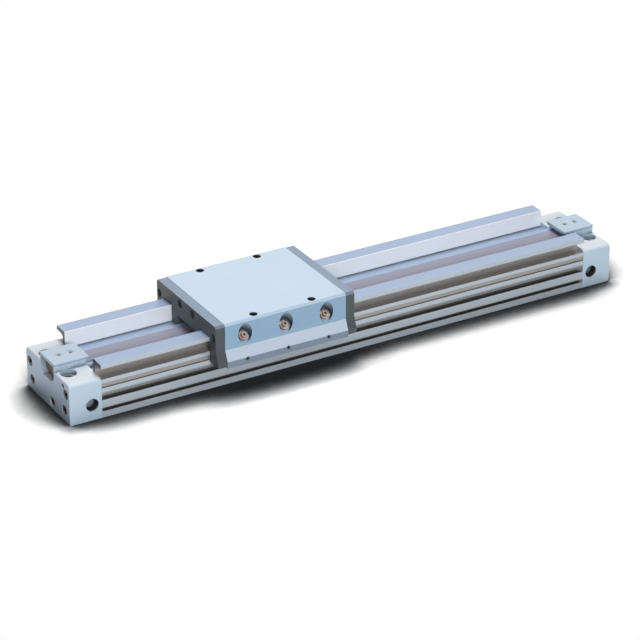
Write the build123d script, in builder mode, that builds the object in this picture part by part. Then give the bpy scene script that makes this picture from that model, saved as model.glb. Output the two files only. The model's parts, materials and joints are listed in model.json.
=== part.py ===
"""Mechanically coupled rodless cylinder with a slide table, in millimetres.

X runs along the tube, Z is up, and the origin is under the middle of the tube,
on the face that the cylinder is bolted down by. The near side, with the air
ports and the adjusting screws, faces -Y.
"""
from build123d import *
import os
from math import cos, radians, sin, sqrt

os.makedirs("parts", exist_ok=True)

# Overall sizes
tube_length = 403.3
tube_width = 70.0
rail_top = 41.0
cover_length = 24.6
cover_height = 31.2
table_centre = -60.75

# Lengths of the carriage, all to one side of its middle
table_length = 98.0
yoke_half_length = 50.0
neck_half_length = 26.0

# Oval bore and the slit above it
bore_width = 31.2
bore_height = 18.0
bore_floor = 3.5
slit_width = 6.8
inner_seat_depth = 1.5
outer_seat_width = 16.0
outer_seat_depth = 0.5

# Rails, the channel between them and the raised land along the slit
rail_width = 12.4
rail_flange = 3.2
rail_groove_height = 8.2
rail_groove_depth = 9.8
channel_floor = 28.0
land_width = 24.0
land_height = 2.4
edge_break = 0.5

# Grooves along both sides of the tube
t_slot_bottom = 4.7
t_slot_mouth = 2.8
t_slot_lip = 1.6
t_slot_depth = 3.6
t_slot_inside = 4.8
sensor_groove_bottom = 13.5
sensor_groove_mouth = 2.9
sensor_groove_bore = 4.4
sensor_groove_depth = 5.4
rib_bevel_start = 19.5
rib_bevel = 1.0
flute_bottom = 22.8
flute_top = 26.7
flute_depth = 1.0

# Holes along the tube
air_passage_radius = 2.7
air_passage_y = 21.8
upper_bolt_y = 28.9
upper_bolt_z = 21.9
lower_bolt_y = 26.0
lower_bolt_z = 8.5
bolt_thread_depth = 12.0

# Clearances
thread_clearance = 0.05
pin_clearance = 0.03
slide_clearance = 0.15
soft_clearance = 0.4
piston_clearance = 0.4
wear_clearance = 0.15
seal_clearance = 0.1
rail_clearance = 0.8

# M4 socket head screws
m4_radius = 2.0
m4_head_radius = 3.5
m4_head_height = 4.0
m4_socket = 3.0
m4_hole_radius = 2.1
m4_counterbore_radius = 3.8

# Derived lines that several pieces share
tube_end = tube_length / 2
outer_end = tube_end + cover_length
half_width = tube_width / 2
bore_z = bore_floor + bore_height / 2
bore_top = bore_floor + bore_height
inner_seat_width = bore_width - bore_height
land_top = channel_floor + land_height
outer_seat_z = land_top - outer_seat_depth
channel_half = half_width - rail_width
groove_z = rail_top - rail_flange - rail_groove_height / 2
groove_straight = rail_groove_depth - rail_groove_height / 2
bolt_places = [
    (sign * y, z)
    for sign in (-1, 1)
    for y, z in ((upper_bolt_y, upper_bolt_z), (lower_bolt_y, lower_bolt_z))
]
sides = ((-1, "left"), (1, "right"))


def socket_screw(radius, length, head_radius, head_height, socket):
    """A socket head screw that points down, with the underside of its head at zero."""
    with BuildPart() as screw:
        with BuildSketch():
            Circle(head_radius)
        extrude(amount=head_height)
        with BuildSketch(Plane.XY.offset(head_height)):
            RegularPolygon(socket / 2, 6, major_radius=False)
        extrude(amount=-head_height * 0.55, mode=Mode.SUBTRACT)
        with BuildSketch():
            Circle(radius)
        extrude(amount=-length)
    return screw.part


def finish(part, name):
    """Label a finished piece and write its STEP file."""
    part.label = name
    export_step(part, f"parts/{name}.step")


# Cylinder tube: one extrusion with the oval bore, the slit and both guide rails
with BuildPart() as cylinder_tube:
    with BuildSketch(Plane.YZ.offset(-tube_end)) as tube_section:
        with Locations((0, rail_top / 2)):
            Rectangle(tube_width, rail_top)
        with Locations((0, (channel_floor + rail_top) / 2)):
            Rectangle(2 * channel_half, rail_top - channel_floor, mode=Mode.SUBTRACT)
        with Locations((0, channel_floor + land_height / 2)):
            Rectangle(land_width, land_height)
        for sign in (-1, 1):
            with Locations((sign * (half_width - groove_straight / 2), groove_z)):
                Rectangle(groove_straight, rail_groove_height, mode=Mode.SUBTRACT)
            with Locations((sign * (half_width - groove_straight), groove_z)):
                Circle(rail_groove_height / 2, mode=Mode.SUBTRACT)
            with Locations((sign * half_width, (flute_bottom + flute_top) / 2)):
                Rectangle(2 * flute_depth, flute_top - flute_bottom, mode=Mode.SUBTRACT)
        fillet(tube_section.vertices().group_by(Axis.Y)[-1], edge_break)
        with Locations((0, bore_z)):
            SlotOverall(bore_width, bore_height, mode=Mode.SUBTRACT)
        with Locations((0, (bore_z + land_top) / 2)):
            Rectangle(slit_width, land_top - bore_z, mode=Mode.SUBTRACT)
        with Locations((0, bore_top + inner_seat_depth / 2)):
            Rectangle(inner_seat_width, inner_seat_depth, mode=Mode.SUBTRACT)
        with Locations((0, land_top - outer_seat_depth / 2)):
            Rectangle(outer_seat_width, outer_seat_depth, mode=Mode.SUBTRACT)
        for sign in (-1, 1):
            slot_z = t_slot_bottom + t_slot_mouth / 2
            with Locations((sign * (half_width - t_slot_depth / 2), slot_z)):
                Rectangle(t_slot_depth, t_slot_mouth, mode=Mode.SUBTRACT)
            with Locations((sign * (half_width - (t_slot_lip + t_slot_depth) / 2), slot_z)):
                Rectangle(t_slot_depth - t_slot_lip, t_slot_inside, mode=Mode.SUBTRACT)
            sensor_z = sensor_groove_bottom + sensor_groove_mouth / 2
            sensor_y = half_width - sensor_groove_depth + sensor_groove_bore / 2
            with Locations((sign * (half_width + sensor_y) / 2, sensor_z)):
                Rectangle(half_width - sensor_y, sensor_groove_mouth, mode=Mode.SUBTRACT)
            with Locations((sign * sensor_y, sensor_z)):
                Circle(sensor_groove_bore / 2, mode=Mode.SUBTRACT)
            with Locations((sign * air_passage_y, bore_z)):
                Circle(air_passage_radius, mode=Mode.SUBTRACT)
            with BuildLine():
                Polyline(
                    (sign * half_width, rib_bevel_start),
                    (sign * (half_width - rib_bevel), sensor_groove_bottom + sensor_groove_mouth),
                    (sign * half_width, sensor_groove_bottom + sensor_groove_mouth),
                    close=True,
                )
            make_face(mode=Mode.SUBTRACT)
    extrude(amount=tube_length)
    for side in (-1, 1):
        with BuildSketch(Plane.YZ.offset(side * tube_end)):
            with Locations(*bolt_places):
                Circle(m4_radius + thread_clearance)
        extrude(amount=-side * bolt_thread_depth, mode=Mode.SUBTRACT)
finish(cylinder_tube.part, "cylinder_tube")

# End covers
cover_round = 3.5
cover_chamfer = 0.6
belt_channel_width = 21.0
belt_channel_floor = 22.7
belt_channel_round = 4.5
belt_groove_gap = 0.15
port_radius = 4.85
port_depth = 6.5
port_from_end = 17.2
port_z = 11.9
port_passage_radius = 2.0
port_passage_z = 14.2
end_port_radius = 4.1
end_port_depth = 8.0
end_port_y = -6.1
end_port_z = 5.6
mount_hole_radius = 3.4
mount_counterbore_radius = 5.9
mount_counterbore_depth = 3.4
mount_from_end = 8.2
mount_y = 17.3
pocket_radius = 6.0
pocket_depth = 12.0
gasket_thickness = 0.8
gasket_margin = 2.5
gasket_top = 20.6
needle_y = -25.2
needle_z = 27.2
needle_radius = 1.6
needle_tip_radius = 0.7
needle_recess = 1.0
needle_length = 11.5
needle_tip_length = 3.0
needle_clearance = 0.06
needle_bore_depth = 15.0
bleed_radius = 0.9
bleed_from_end = 14.0
counterbore_depth = 4.6
cap_rib_height = 3.6
# The rib stops just short of the counterbores beside it
cap_rib_gap = 0.1
cap_rib_half_width = mount_y - mount_counterbore_radius - cap_rib_gap

inner_belt_width = inner_seat_width - 0.2
inner_belt_thickness = 1.3
outer_belt_width = 15.2
outer_belt_thickness = 1.0
inner_belt_z = bore_top + inner_seat_depth - thread_clearance - inner_belt_thickness

for side, name in sides:
    port_x = side * (outer_end - port_from_end)
    with BuildPart() as end_cover:
        with BuildSketch(Plane.YZ.offset(side * tube_end)) as cover_section:
            with Locations((0, cover_height / 2)):
                Rectangle(tube_width, cover_height)
            fillet(cover_section.vertices().group_by(Axis.Y)[-1], cover_round)
            with Locations((0, cover_height / 2 + cap_rib_height / 2)):
                Rectangle(2 * cap_rib_half_width, cover_height + cap_rib_height)
            with Locations((0, belt_channel_floor + cover_height / 2)):
                RectangleRounded(
                    belt_channel_width, cover_height, belt_channel_round, mode=Mode.SUBTRACT
                )
            belt_groove_width = inner_belt_width + 2 * belt_groove_gap
            belt_groove_floor = inner_belt_z - belt_groove_gap
            with Locations((0, (belt_groove_floor + cover_height) / 2)):
                Rectangle(
                    belt_groove_width,
                    cover_height - belt_groove_floor,
                    mode=Mode.SUBTRACT,
                )
        extrude(amount=side * cover_length)
        outer_edges = end_cover.edges().group_by(Axis.X)[-1 if side > 0 else 0]
        side_edges = outer_edges.filter_by(lambda e: abs(e.center().Y) > cap_rib_half_width + 1)
        chamfer(side_edges, cover_chamfer)
        # Air pocket behind the cushion boss, and the recess for the gasket
        with BuildSketch(Plane.YZ.offset(side * tube_end)):
            with Locations((0, bore_z)):
                Circle(pocket_radius)
        extrude(amount=side * pocket_depth, mode=Mode.SUBTRACT)
        with BuildSketch(Plane.YZ.offset(side * tube_end)):
            with Locations((0, bore_z)):
                SlotOverall(bore_width + 2 * gasket_margin, bore_height + 2 * gasket_margin)
            with Locations((0, gasket_top + cover_height / 2)):
                Rectangle(tube_width, cover_height, mode=Mode.SUBTRACT)
        extrude(amount=side * gasket_thickness, mode=Mode.SUBTRACT)
        # Side port with its passage, and the plugged port in the end face
        with BuildSketch(Plane.XZ.offset(half_width)):
            with Locations((port_x, port_z)):
                Circle(port_radius)
        extrude(amount=-port_depth, mode=Mode.SUBTRACT)
        with BuildSketch(Plane.XZ.offset(half_width)):
            with Locations((port_x, port_passage_z)):
                Circle(port_passage_radius)
        extrude(amount=-half_width, mode=Mode.SUBTRACT)
        with BuildSketch(Plane.YZ.offset(side * outer_end)):
            with Locations((end_port_y, end_port_z)):
                Circle(end_port_radius)
        extrude(amount=-side * end_port_depth, mode=Mode.SUBTRACT)
        # Bore of the cushion needle, with bleeds to the air pocket and to the side port
        with BuildSketch(Plane.YZ.offset(side * outer_end)):
            with Locations((needle_y, needle_z)):
                Circle(needle_radius + needle_clearance)
        extrude(amount=-side * needle_bore_depth, mode=Mode.SUBTRACT)
        with BuildSketch(Plane.YZ.offset(side * outer_end)):
            with Locations((needle_y, needle_z)):
                Circle(bleed_radius)
        extrude(amount=-side * (port_from_end + bleed_radius), mode=Mode.SUBTRACT)
        with BuildSketch(Plane(origin=(port_x, needle_y, needle_z), z_dir=(0, 0, -1))):
            Circle(bleed_radius)
        extrude(amount=needle_z - port_passage_z, mode=Mode.SUBTRACT)
        bleed_start = (side * (outer_end - bleed_from_end), needle_y, needle_z)
        bleed_run = (0, -pocket_radius / 2 - needle_y, bore_z - needle_z)
        with BuildSketch(Plane(origin=bleed_start, z_dir=bleed_run)):
            Circle(bleed_radius)
        extrude(amount=sqrt(bleed_run[1] ** 2 + bleed_run[2] ** 2), mode=Mode.SUBTRACT)
        # Bolt holes into the tube, and the holes that hold the cylinder down
        with BuildSketch(Plane.YZ.offset(side * outer_end)):
            with Locations(*bolt_places):
                Circle(m4_hole_radius)
        extrude(amount=-side * cover_length, mode=Mode.SUBTRACT)
        with BuildSketch(Plane.YZ.offset(side * outer_end)):
            with Locations(*bolt_places):
                Circle(m4_counterbore_radius)
        extrude(amount=-side * counterbore_depth, mode=Mode.SUBTRACT)
        with Locations(
            (side * (outer_end - mount_from_end), -mount_y, cover_height),
            (side * (outer_end - mount_from_end), mount_y, cover_height),
        ):
            CounterBoreHole(mount_hole_radius, mount_counterbore_radius, mount_counterbore_depth)
    finish(end_cover.part, f"end_cover_{name}")

    with BuildPart() as tube_gasket:
        with BuildSketch(Plane.YZ.offset(side * tube_end)):
            with Locations((0, bore_z)):
                SlotOverall(bore_width + 2 * gasket_margin, bore_height + 2 * gasket_margin)
                SlotOverall(bore_width, bore_height, mode=Mode.SUBTRACT)
            with Locations((0, gasket_top + cover_height / 2)):
                Rectangle(tube_width, cover_height, mode=Mode.SUBTRACT)
        extrude(amount=side * gasket_thickness)
    finish(tube_gasket.part, f"tube_gasket_{name}")

# Bolts that hold the end covers to the tube
cover_bolt_grip = 9.0
cover_bolt_length = cover_length - counterbore_depth + cover_bolt_grip
cover_bolt = socket_screw(m4_radius, cover_bolt_length, m4_head_radius, m4_head_height, m4_socket)
for side, name in sides:
    head_seat = side * (outer_end - counterbore_depth)
    with BuildPart() as cover_bolts:
        with Locations(
            *[Plane(origin=(head_seat, y, z), x_dir=(0, 1, 0), z_dir=(side, 0, 0)) for y, z in bolt_places]
        ):
            add(cover_bolt)
    finish(cover_bolts.part, f"cover_bolts_{name}")

# Hexagon socket plugs in the end ports
plug_length = 6.0
plug_recess = 1.0
plug_socket = 4.0
for side, name in sides:
    with BuildPart() as port_plug:
        with BuildSketch(Plane.YZ.offset(side * (outer_end - plug_recess))):
            with Locations((end_port_y, end_port_z)):
                Circle(end_port_radius - thread_clearance)
        extrude(amount=-side * plug_length)
        with BuildSketch(Plane.YZ.offset(side * (outer_end - plug_recess))):
            with Locations((end_port_y, end_port_z)):
                RegularPolygon(plug_socket / 2, 6, major_radius=False)
        extrude(amount=-side * plug_length / 2, mode=Mode.SUBTRACT)
    finish(port_plug.part, f"port_plug_{name}")

# Cushion bosses: hollow spigots that the pistons run over near the end of the stroke
boss_radius = 4.5
boss_bore_radius = 2.2
boss_reach = 14.0
boss_flange = 4.0
boss_nose = 0.8
for side, name in sides:
    with BuildPart() as cushion_boss:
        with BuildSketch(Plane.YZ.offset(side * tube_end)):
            with Locations((0, bore_z)):
                Circle(pocket_radius - pin_clearance)
        extrude(amount=side * boss_flange)
        with BuildSketch(Plane.YZ.offset(side * tube_end)):
            with Locations((0, bore_z)):
                Circle(boss_radius)
        extrude(amount=-side * boss_reach)
        nose = cushion_boss.faces().sort_by(Axis.X)[0 if side > 0 else -1]
        chamfer(nose.edges(), boss_nose)
        with BuildSketch(Plane.YZ.offset(side * (tube_end + boss_flange))):
            with Locations((0, bore_z)):
                Circle(boss_bore_radius)
        extrude(amount=-side * (boss_flange + boss_reach), mode=Mode.SUBTRACT)
    finish(cushion_boss.part, f"cushion_boss_{name}")

# Cushion needles, turned with a screwdriver from the outer ends
driver_slot_width = 0.6
driver_slot_depth = 0.8
for side, name in sides:
    needle_face = side * (outer_end - needle_recess)
    with BuildPart() as cushion_needle:
        with BuildSketch(Plane.YZ.offset(needle_face)):
            with Locations((needle_y, needle_z)):
                Circle(needle_radius)
        extrude(amount=-side * needle_length)
        with BuildSketch(Plane.YZ.offset(needle_face - side * needle_length)):
            with Locations((needle_y, needle_z)):
                Circle(needle_tip_radius)
        extrude(amount=-side * needle_tip_length)
        with BuildSketch(Plane.YZ.offset(needle_face)):
            with Locations((needle_y, needle_z)):
                Rectangle(driver_slot_width, 4 * needle_radius)
        extrude(amount=-side * driver_slot_depth, mode=Mode.SUBTRACT)
    finish(cushion_needle.part, f"cushion_needle_{name}")

# Places of the screws that clamp the belts
cap_screw_from_end = (9.3, 18.3)
cap_screw_y = 0.0
cap_screw_places = [
    (side * (outer_end - d), cap_screw_y) for side in (-1, 1) for d in cap_screw_from_end
]
m3_radius = 1.5

# Belts: the inner one seals the slit from inside the bore, the outer one keeps dust out.
# Both part around the yoke: the inner belt dips under its neck, the outer rises over it.
belt_end_gap = 5.5
dip_inset = 2.0
dip_half_length = neck_half_length - dip_inset
dip_end_inset = 4.0
dip_end = yoke_half_length - dip_end_inset
dip_z = 14.0
rise_reach = 2.0
rise_half_length = neck_half_length + rise_reach
rise_end_inset = 7.0
rise_end = table_length / 2 - rise_end_inset
rise_z = 33.2
belt_bend_radius = 12.0


def belt_outline(flat_z, middle_z, thickness, middle_half, ramp_end):
    """The side view of a belt: level runs joined by two ramps around the yoke."""
    belt_end = outer_end - belt_end_gap
    along = (
        -belt_end,
        table_centre - ramp_end,
        table_centre - middle_half,
        table_centre + middle_half,
        table_centre + ramp_end,
        belt_end,
    )
    height = (flat_z, flat_z, middle_z, middle_z, flat_z, flat_z)
    lower = list(zip(along, height))
    upper = [(x, z + thickness) for x, z in reversed(lower)]
    return lower + upper


belts = (
    ("inner_seal_belt", inner_belt_width, inner_belt_thickness, inner_belt_z, dip_z, dip_half_length, dip_end),
    (
        "outer_dust_belt",
        outer_belt_width,
        outer_belt_thickness,
        outer_seat_z,
        rise_z,
        rise_half_length,
        rise_end,
    ),
)
for name, width, thickness, flat_z, middle_z, middle_half, ramp_end in belts:
    with BuildPart() as belt:
        with BuildSketch(Plane.XZ.offset(-width / 2)) as belt_side:
            with BuildLine():
                Polyline(*belt_outline(flat_z, middle_z, thickness, middle_half, ramp_end), close=True)
            make_face()
            bends = belt_side.vertices().filter_by_position(
                Axis.X, table_centre - ramp_end - 1, table_centre + ramp_end + 1
            )
            fillet(bends, belt_bend_radius)
        extrude(amount=width)
        if name == "outer_dust_belt":
            with BuildSketch(Plane.XY.offset(outer_seat_z)):
                with Locations(*cap_screw_places):
                    Circle(m3_radius + 2 * thread_clearance)
            extrude(amount=outer_belt_thickness, mode=Mode.SUBTRACT)
    finish(belt.part, name)

# Belt clamps in the end covers: a block under the outer belt, a bar on it, and a screwed cap
clamp_from_end = 4.0
clamp_length = 18.0
clamp_gap = 0.1
cap_thickness = 2.5
cap_overhang = 2.2
cap_bevel = 1.2
cap_edge = 0.5
cap_width = 23.4
m3_head_radius = 2.2
m3_head_height = 1.4
cap_screw_length = 10.0
cap_screw_recess = 0.2
cap_screw_socket = 2.0
cap_bottom = cover_height + cap_rib_height
cap_top = cap_bottom + cap_thickness
for side, name in sides:
    clamp_x = side * (outer_end - clamp_from_end)
    screw_places = [(x, y) for x, y in cap_screw_places if x * side > 0]
    with BuildPart() as belt_clamp:
        with BuildSketch(Plane.YZ.offset(clamp_x)) as clamp_section:
            clamp_bottom = inner_belt_z + inner_belt_thickness + clamp_gap
            with Locations((0, (clamp_bottom + outer_seat_z) / 2)):
                Rectangle(belt_channel_width - 2 * clamp_gap, outer_seat_z - clamp_bottom)
            fillet(clamp_section.vertices().group_by(Axis.Y)[0], belt_channel_round)
        extrude(amount=-side * clamp_length)
        with BuildSketch(Plane.XY.offset(outer_seat_z)):
            with Locations(*screw_places):
                Circle(m3_radius + thread_clearance)
        extrude(amount=-(outer_seat_z - clamp_bottom), mode=Mode.SUBTRACT)
    finish(belt_clamp.part, f"belt_clamp_{name}")

    with BuildPart() as clamp_bar:
        with BuildSketch(Plane.YZ.offset(clamp_x)):
            bar_bottom = outer_seat_z + outer_belt_thickness
            with Locations((0, (bar_bottom + cap_bottom) / 2)):
                Rectangle(belt_channel_width - 2 * clamp_gap, cap_bottom - bar_bottom)
        extrude(amount=-side * clamp_length)
        with BuildSketch(Plane.XY.offset(cap_bottom)):
            with Locations(*screw_places):
                Circle(m3_radius + 2 * thread_clearance)
        extrude(amount=-(cap_bottom - bar_bottom), mode=Mode.SUBTRACT)
    finish(clamp_bar.part, f"clamp_bar_{name}")

    with BuildPart() as clamp_cap:
        with BuildSketch(Plane.YZ.offset(side * (tube_end - cap_overhang))) as cap_section:
            with Locations((0, cap_bottom + cap_thickness / 2)):
                Rectangle(cap_width, cap_thickness)
            chamfer(cap_section.vertices().group_by(Axis.Y)[0], cap_bevel)
            fillet(cap_section.vertices().group_by(Axis.Y)[-1], cap_edge)
        extrude(amount=side * (cover_length + cap_overhang))
        with BuildSketch(Plane.XY.offset(cap_top)):
            with Locations(*screw_places):
                Circle(m3_radius + 2 * thread_clearance)
        extrude(amount=-cap_thickness, mode=Mode.SUBTRACT)
        with BuildSketch(Plane.XY.offset(cap_top)):
            with Locations(*screw_places):
                Circle(m3_head_radius + 2 * thread_clearance)
        extrude(amount=-m3_head_height, mode=Mode.SUBTRACT)
    finish(clamp_cap.part, f"clamp_cap_{name}")

# Slide table: a machined block that straddles the tube
table_top = 53.0
table_half_width = 45.0
table_chamfer = 1.6
table_skirt_bottom = 20.0
lip_half_width = 48.5
lip_top = 25.0
flare_top = 32.8
skirt_inside = 36.2
table_underside = 42.0
recess_half_width = 15.0
recess_roof = 45.0
table_hole_radius = 3.0
table_hole_depth = 9.0
table_hole_x = 23.5
table_hole_y = 40.0

# Bearings between the table and the rail grooves
bearing_gap = 0.15
bearing_nose_gap = 0.5
bearing_flange_inner = 36.5
bearing_flange_outer = 38.9
bearing_flange_extra = 1.1
near_flange_outer = 37.7
arm_outer = 42.4
arm_bottom = 21.5
arm_bevel_start = 33.8
arm_gap = 0.2
arm_bevel_gap = 0.6
top_bearing_inner = 24.0
top_bearing_outer = 34.0
top_bearing_gap = 0.15
top_bearing_from_end = 4.0
top_bearing_length = table_length - 2 * top_bearing_from_end

# Adjusting screws, their recesses and the screws that lock the arm
adjuster_from_end = 16.0
adjuster_spacing = table_length / 2 - adjuster_from_end
adjuster_x = (-adjuster_spacing, 0.0, adjuster_spacing)
recess_y = -45.0
recess_z = 42.4
recess_radius = 5.5
recess_depth = 5.6
adjuster_radius = 2.0
adjuster_length = 6.0
lock_nut_width = 7.0
lock_nut_height = 2.2
lock_screw_z = 24.0
lock_screw_length = 6.0
set_screw_socket_share = 0.5

# Distance from the middle of the recess mouth to the arm's bevelled corner
arm_bevel_offset = arm_bevel_start + arm_outer
adjuster_reach = (recess_z - recess_y - arm_bevel_offset) / sqrt(2)
tilt = (0, -1, 1)

# End plate screws
plate_thickness = 7.3
plate_screw_radius = 1.5
plate_screw_head_radius = 2.75
plate_screw_head_height = 2.0
plate_screw_socket = 2.5
plate_screw_recess_radius = 3.1
plate_screw_recess_depth = 4.8
plate_screw_length = 10.0
plate_screw_end_gap = 0.5
plate_screw_places = ((-41.0, 42.6), (41.0, 42.6), (-9.5, 47.6), (9.5, 47.6))

# Coupler pins
pin_radius = 2.5
pin_x = 14.0
pin_bottom = 36.0
pin_top = 48.0


def table_outline(inset, bottom):
    """Half of the outside of the table, from the skirt's foot to the middle of the top."""
    return [
        (skirt_inside + inset, bottom),
        (lip_half_width - inset, bottom),
        (lip_half_width - inset, lip_top),
        (table_half_width - inset, flare_top),
        (table_half_width - inset, table_top - table_chamfer - inset),
        (table_half_width - table_chamfer - inset, table_top - inset),
        (0, table_top - inset),
    ]


with BuildPart() as slide_table:
    with BuildSketch(Plane.YZ.offset(table_centre - table_length / 2)):
        with BuildLine():
            inside = [
                (0, recess_roof),
                (recess_half_width, recess_roof),
                (recess_half_width, table_underside),
                (skirt_inside, table_underside),
            ]
            outside = table_outline(0, table_skirt_bottom)
            right_half = [outside[-1]] + list(reversed(outside[:-1])) + list(reversed(inside))
            left_half = [(-y, z) for y, z in reversed(right_half) if y != 0]
            Polyline(*(right_half + left_half), close=True)
        make_face()
        # Pocket of the fixed bearing on the far side
        flange_low = groove_z - rail_groove_height / 2 - bearing_flange_extra
        flange_high = groove_z + rail_groove_height / 2 + bearing_flange_extra
        with Locations((bearing_flange_outer / 2 + skirt_inside / 2, groove_z)):
            Rectangle(
                bearing_flange_outer - skirt_inside,
                flange_high - flange_low + 2 * pin_clearance,
                mode=Mode.SUBTRACT,
            )
        # Pocket of the adjusting arm and its bearing on the near side
        pocket_outer = arm_outer + arm_gap
        pocket_top = flange_high + arm_gap
        bevel_offset = arm_bevel_offset + arm_bevel_gap * sqrt(2)
        with BuildLine():
            Polyline(
                (-skirt_inside, arm_bottom - arm_gap),
                (-pocket_outer, arm_bottom - arm_gap),
                (-pocket_outer, bevel_offset - pocket_outer),
                (pocket_top - bevel_offset, pocket_top),
                (-skirt_inside, pocket_top),
                close=True,
            )
        make_face(mode=Mode.SUBTRACT)
    extrude(amount=table_length)
    # Tapped holes that carry the load
    with BuildSketch(Plane.XY.offset(table_top)):
        with Locations(
            *[
                (table_centre + sx * table_hole_x, sy * table_hole_y)
                for sx in (-1, 1)
                for sy in (-1, 1)
            ]
        ):
            Circle(table_hole_radius)
    extrude(amount=-table_hole_depth, mode=Mode.SUBTRACT)
    # Slanted recesses and threads of the adjusting screws
    for x in adjuster_x:
        mouth = (table_centre + x, recess_y, recess_z)
        with BuildSketch(Plane(origin=mouth, z_dir=tilt).offset(-recess_depth)):
            Circle(recess_radius)
        extrude(amount=4 * recess_radius, mode=Mode.SUBTRACT)
        with BuildSketch(Plane(origin=mouth, z_dir=tilt)):
            Circle(adjuster_radius + thread_clearance)
        extrude(amount=-adjuster_reach, mode=Mode.SUBTRACT)
    # Threads of the lock set screws
    with BuildSketch(Plane.XZ.offset(lip_half_width)):
        with Locations(*[(table_centre + x, lock_screw_z) for x in adjuster_x]):
            Circle(m3_radius + thread_clearance)
    extrude(amount=-(lip_half_width - arm_outer), mode=Mode.SUBTRACT)
    # Threads of the end plate screws
    for end in (-1, 1):
        with BuildSketch(Plane.YZ.offset(table_centre + end * table_length / 2)):
            with Locations(*plate_screw_places):
                Circle(plate_screw_radius + thread_clearance)
        plate_grip = plate_thickness - plate_screw_recess_depth
        extrude(amount=-end * (plate_screw_length - plate_grip + plate_screw_end_gap), mode=Mode.SUBTRACT)
    # Blind holes of the coupler pins
    with BuildSketch(Plane.XY.offset(recess_roof)):
        with Locations((table_centre - pin_x, 0), (table_centre + pin_x, 0)):
            Circle(pin_radius + pin_clearance)
    extrude(amount=pin_top - recess_roof, mode=Mode.SUBTRACT)
finish(slide_table.part, "slide_table")

# End plates of the table and the scrapers behind them
scraper_thickness = 1.5
scraper_gap = 0.2
scraper_width = 3.0
arch_half_width = 13.0
arch_top = 36.5
tongue_gap = 0.8
plate_inset = 0.4
plate_bottom = 21.4
for side, name in sides:
    plate_face = table_centre + side * table_length / 2
    with BuildPart() as table_end_plate:
        with BuildSketch(Plane.YZ.offset(plate_face)) as plate_section:
            with BuildLine():
                half = table_outline(plate_inset, plate_bottom)[1:]
                over_rail = [
                    (half_width + rail_clearance, plate_bottom),
                    (half_width + rail_clearance, rail_top + rail_clearance),
                    (channel_half - tongue_gap, rail_top + rail_clearance),
                    (channel_half - tongue_gap, channel_floor + rail_clearance),
                    (arch_half_width, channel_floor + rail_clearance),
                    (arch_half_width, arch_top),
                ]
                right_half = list(reversed(over_rail)) + half
                left_half = [(-y, z) for y, z in reversed(right_half) if y != 0]
                Polyline(*(right_half + left_half), close=True)
            make_face()
        extrude(amount=side * plate_thickness)
        with BuildSketch(Plane.YZ.offset(plate_face)):
            with Locations(*plate_screw_places):
                Circle(plate_screw_radius + 2 * thread_clearance)
        extrude(amount=side * plate_thickness, mode=Mode.SUBTRACT)
        with BuildSketch(Plane.YZ.offset(plate_face + side * plate_thickness)):
            with Locations(*plate_screw_places):
                Circle(plate_screw_recess_radius)
        extrude(amount=-side * plate_screw_recess_depth, mode=Mode.SUBTRACT)
        # Pocket on the inner side for the scraper
        with BuildSketch(Plane.YZ.offset(plate_face)):
            with BuildLine():
                Polyline(
                    (-half_width - rail_clearance - scraper_width, plate_bottom),
                    (-half_width - rail_clearance - scraper_width, rail_top + scraper_width),
                    (half_width + rail_clearance + scraper_width, rail_top + scraper_width),
                    (half_width + rail_clearance + scraper_width, plate_bottom),
                    close=True,
                )
            make_face()
        extrude(amount=side * scraper_thickness, mode=Mode.SUBTRACT)
    finish(table_end_plate.part, f"table_end_plate_{name}")

    with BuildPart() as scraper:
        with BuildSketch(Plane.YZ.offset(plate_face)):
            with BuildLine():
                wipe = scraper_gap
                scraper_top = rail_top + scraper_width - thread_clearance
                scraper_outer = half_width + rail_clearance + scraper_width - thread_clearance
                right_half = [
                    (arch_half_width, arch_top),
                    (arch_half_width, channel_floor + wipe),
                    (channel_half - wipe, channel_floor + wipe),
                    (channel_half - wipe, rail_top + wipe),
                    (half_width + wipe, rail_top + wipe),
                    (half_width + wipe, plate_bottom),
                    (scraper_outer, plate_bottom),
                    (scraper_outer, scraper_top),
                ]
                left_half = [(-y, z) for y, z in reversed(right_half)]
                Polyline(*(right_half + left_half), close=True)
            make_face()
        extrude(amount=side * scraper_thickness)
    finish(scraper.part, f"scraper_{name}")

plate_screw = socket_screw(
    plate_screw_radius,
    plate_screw_length,
    plate_screw_head_radius,
    plate_screw_head_height,
    plate_screw_socket,
)
screw_seats = [
    (side, table_centre + side * (table_length / 2 + plate_thickness - plate_screw_recess_depth))
    for side in (-1, 1)
]
with BuildPart() as end_plate_screws:
    with Locations(
        *[
            Plane(origin=(x, y, z), x_dir=(0, 1, 0), z_dir=(side, 0, 0))
            for side, x in screw_seats
            for y, z in plate_screw_places
        ]
    ):
        add(plate_screw)
finish(end_plate_screws.part, "end_plate_screws")

# Cap screws of the belt clamps
cap_screw = socket_screw(
    m3_radius, cap_screw_length, m3_head_radius, m3_head_height - cap_screw_recess, cap_screw_socket
)
with BuildPart() as clamp_cap_screws:
    with Locations(
        *[(x, y, cap_top - m3_head_height) for x, y in cap_screw_places]
    ):
        add(cap_screw)
finish(clamp_cap_screws.part, "clamp_cap_screws")

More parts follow.
